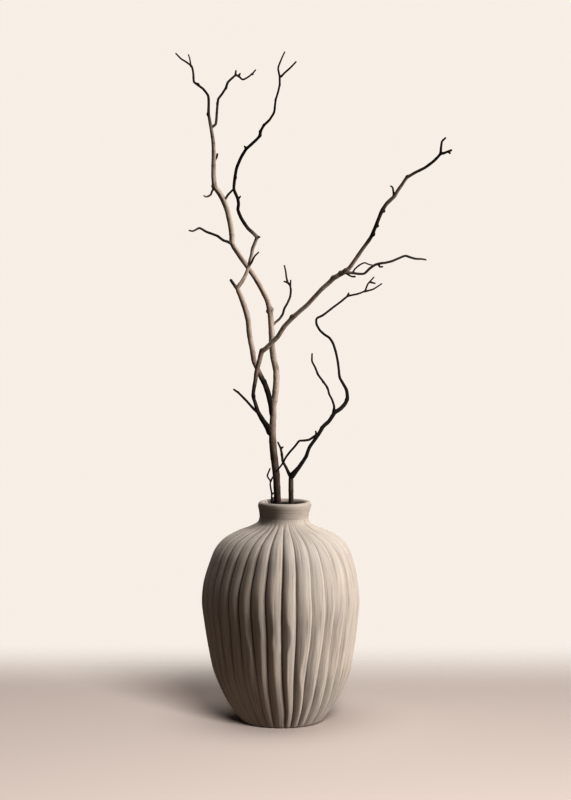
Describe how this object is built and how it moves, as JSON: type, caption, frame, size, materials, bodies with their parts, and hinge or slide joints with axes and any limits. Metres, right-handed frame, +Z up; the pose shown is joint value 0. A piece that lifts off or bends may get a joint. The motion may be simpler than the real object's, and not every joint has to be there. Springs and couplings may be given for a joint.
{
  "type": "ikebana arrangement",
  "caption": "bare twisting dry branches standing in a tall ribbed matte stoneware vase with a short narrow neck",
  "frame": {"origin": "the middle of the vase's flat foot, on the surface that it stands on", "axes": "+Z is up and is the longest extent, -Y is the front of the arrangement, +X is to the right as seen from the front"},
  "size_m": [0.3661, 0.2127, 0.9056],
  "materials": {
    "stoneware": "matte unglazed greige clay",
    "pale_bark": "dry taupe bark, darker on thin twigs",
    "dark_bark": "dry dark brown bark"
  },
  "bodies": {
    "root": {"vase": "stoneware", "main_branch": "pale_bark", "side_branch": "dark_bark"}
  },
  "joints": []
}
